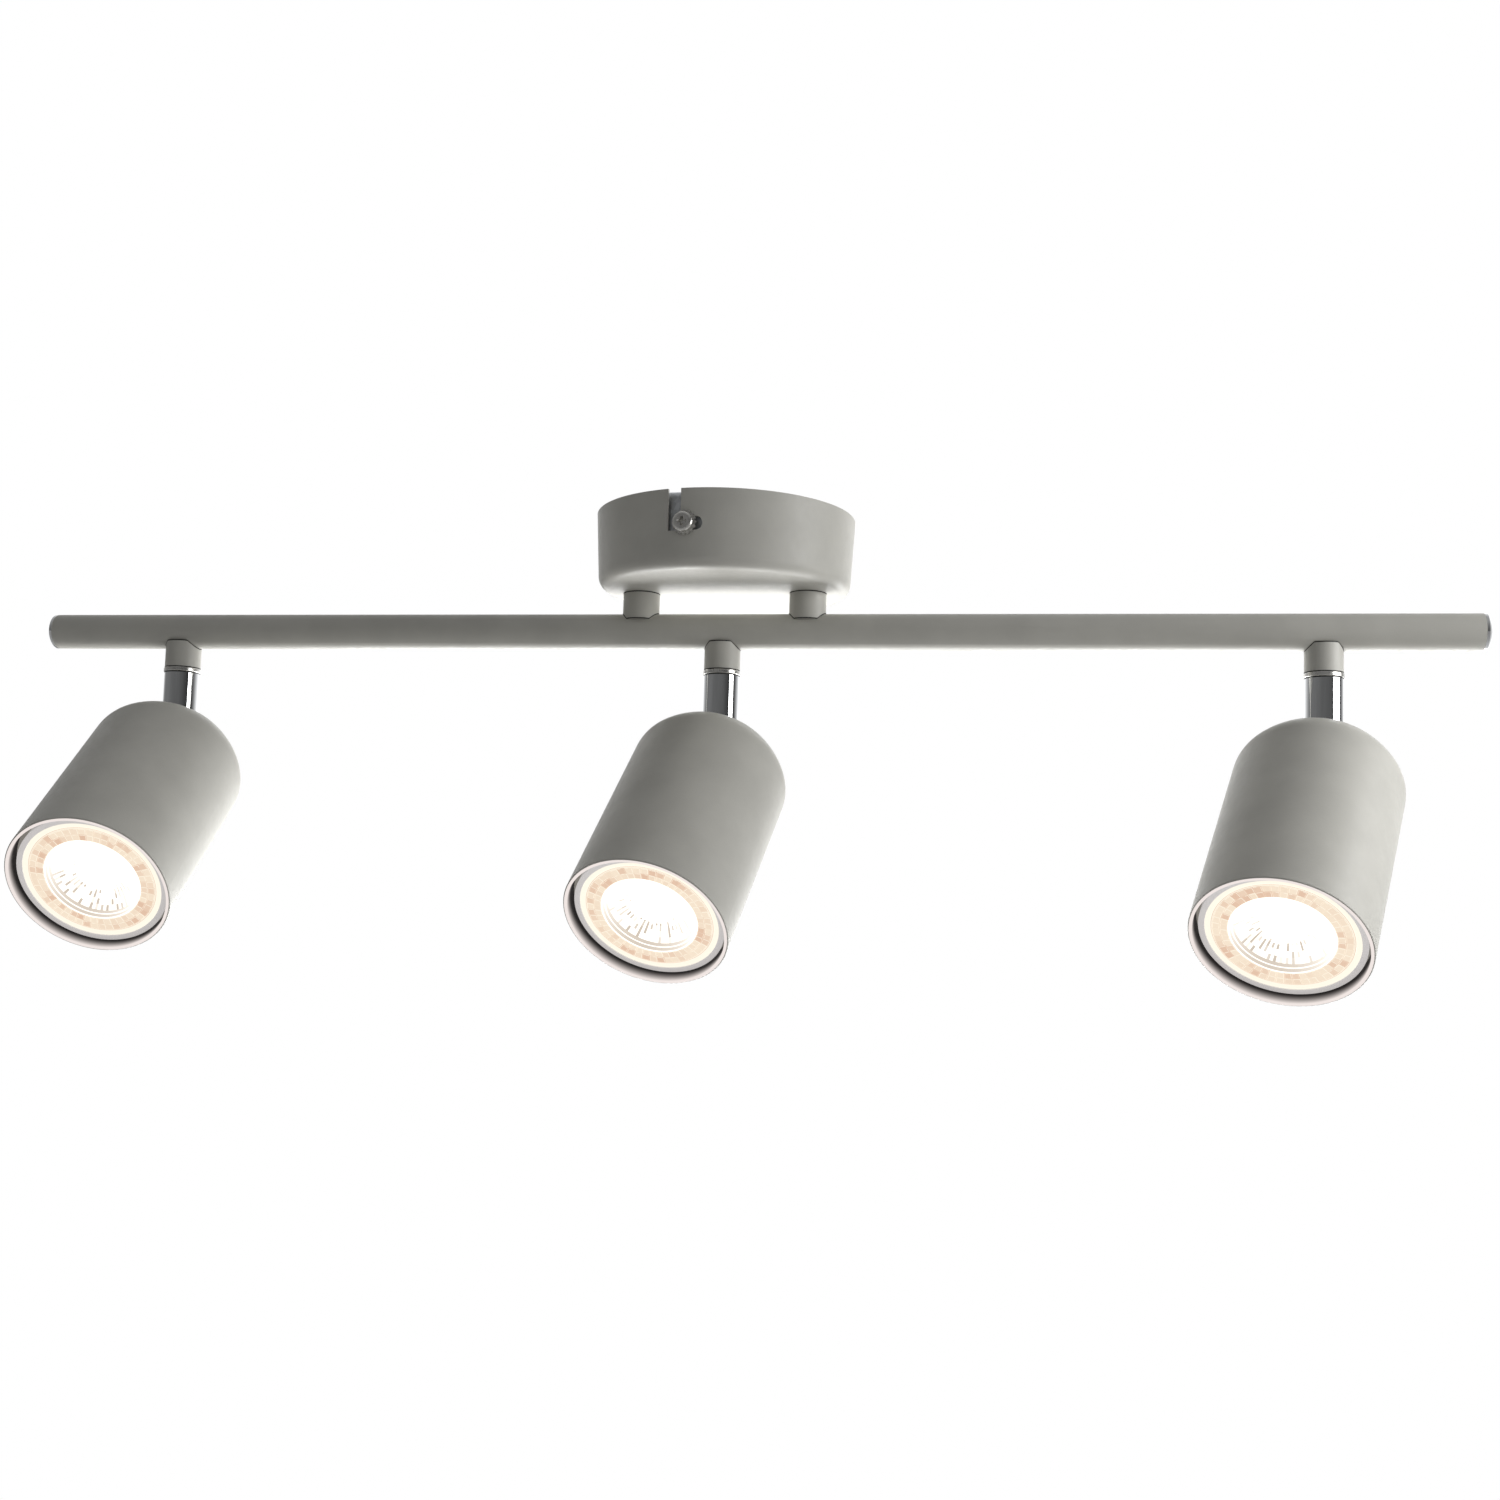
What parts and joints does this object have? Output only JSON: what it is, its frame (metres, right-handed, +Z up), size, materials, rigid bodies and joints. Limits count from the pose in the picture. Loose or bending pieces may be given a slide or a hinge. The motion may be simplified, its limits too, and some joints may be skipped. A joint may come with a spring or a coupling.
{
  "type": "track lighting fixture",
  "caption": "Ceiling spotlight bar with a round canopy and swivelling cylindrical spot heads on chrome knuckle stems.",
  "frame": {"origin": "centre of the two ceiling screw holes, in the plane of the ceiling", "axes": "+X along the bar, +Z up into the ceiling, the heads shine towards -Y and down"},
  "size_m": [0.5158, 0.1312, 0.1652],
  "materials": {
    "powder_coat": "fine-textured matt powder coat, warm light grey",
    "chrome": "polished chrome plate",
    "satin_nickel": "satin nickel plate",
    "zinc_plate": "bright zinc plate",
    "spring_steel": "oiled spring steel",
    "brass": "turned brass",
    "natural_nylon": "natural white nylon",
    "silicone_sleeve": "white silicone sleeve",
    "ceramic": null,
    "lamp_housing": "moulded light grey plastic",
    "lamp_cover": "clear prismatic lens, lit warm white",
    "led_board": "white board with a lit warm emitter",
    "pin_metal": "nickel-plated"
  },
  "bodies": {
    "root": {"canopy": "powder_coat", "post_left": "powder_coat", "post_right": "powder_coat", "bar_tube": "powder_coat", "end_cap_left": "chrome", "end_cap_right": "chrome", "friction_rings": "satin_nickel", "canopy_screws": "satin_nickel", "canopy_screw_washers": "satin_nickel", "ceiling_bracket": "zinc_plate", "canopy_nuts": "zinc_plate", "post_nipples": "zinc_plate", "swivel_bolts": "zinc_plate", "pan_stop_pins": "zinc_plate", "swivel_washers": "spring_steel", "earth_screw": "brass", "terminal_screws": "brass", "terminal_block": "natural_nylon", "internal_leads": "silicone_sleeve", "head_stub_1": "powder_coat", "head_stub_2": "powder_coat", "head_stub_3": "powder_coat"},
    "stem_1": {"stem_1": "chrome"},
    "head_1": {"head_shell_1": "powder_coat", "hinge_bracket_1": "zinc_plate", "pivot_screw_1": "zinc_plate", "pivot_nut_1": "zinc_plate", "bracket_screws_1": "zinc_plate", "pivot_washers_1": "natural_nylon", "lampholder_1": "ceramic", "lamp_body_1": "lamp_housing", "lamp_lens_1": "lamp_cover", "lamp_led_board_1": "led_board", "lamp_pins_1": "pin_metal"},
    "stem_2": {"stem_2": "chrome"},
    "head_2": {"head_shell_2": "powder_coat", "hinge_bracket_2": "zinc_plate", "pivot_screw_2": "zinc_plate", "pivot_nut_2": "zinc_plate", "bracket_screws_2": "zinc_plate", "pivot_washers_2": "natural_nylon", "lampholder_2": "ceramic", "lamp_body_2": "lamp_housing", "lamp_lens_2": "lamp_cover", "lamp_led_board_2": "led_board", "lamp_pins_2": "pin_metal"},
    "stem_3": {"stem_3": "chrome"},
    "head_3": {"head_shell_3": "powder_coat", "hinge_bracket_3": "zinc_plate", "pivot_screw_3": "zinc_plate", "pivot_nut_3": "zinc_plate", "bracket_screws_3": "zinc_plate", "pivot_washers_3": "natural_nylon", "lampholder_3": "ceramic", "lamp_body_3": "lamp_housing", "lamp_lens_3": "lamp_cover", "lamp_led_board_3": "led_board", "lamp_pins_3": "pin_metal"}
  },
  "joints": [
    {"name": "pan_1", "type": "hinge", "parent": "root", "child": "stem_1", "pos_m": [-0.2046, 0, -0.057], "axis": [0, 0, 1], "range_deg": [-170.5, 159.5]},
    {"name": "tilt_1", "type": "hinge", "parent": "stem_1", "child": "head_1", "pos_m": [-0.2046, 0, -0.084], "axis": [-0.9954, -0.0958, 0], "range_deg": [-51.3, 8.7]},
    {"name": "pan_2", "type": "hinge", "parent": "root", "child": "stem_2", "pos_m": [0, 0, -0.057], "axis": [0, 0, 1], "range_deg": [-154.4, 175.6]},
    {"name": "tilt_2", "type": "hinge", "parent": "stem_2", "child": "head_2", "pos_m": [0, 0, -0.084], "axis": [-0.9829, 0.184, 0], "range_deg": [-44.9, 15.1]},
    {"name": "pan_3", "type": "hinge", "parent": "root", "child": "stem_3", "pos_m": [0.2046, 0, -0.057], "axis": [0, 0, 1], "range_deg": [-143.7, 186.3]},
    {"name": "tilt_3", "type": "hinge", "parent": "stem_3", "child": "head_3", "pos_m": [0.2046, 0, -0.084], "axis": [-0.9317, 0.3633, 0], "range_deg": [-44.3, 15.7]}
  ]
}
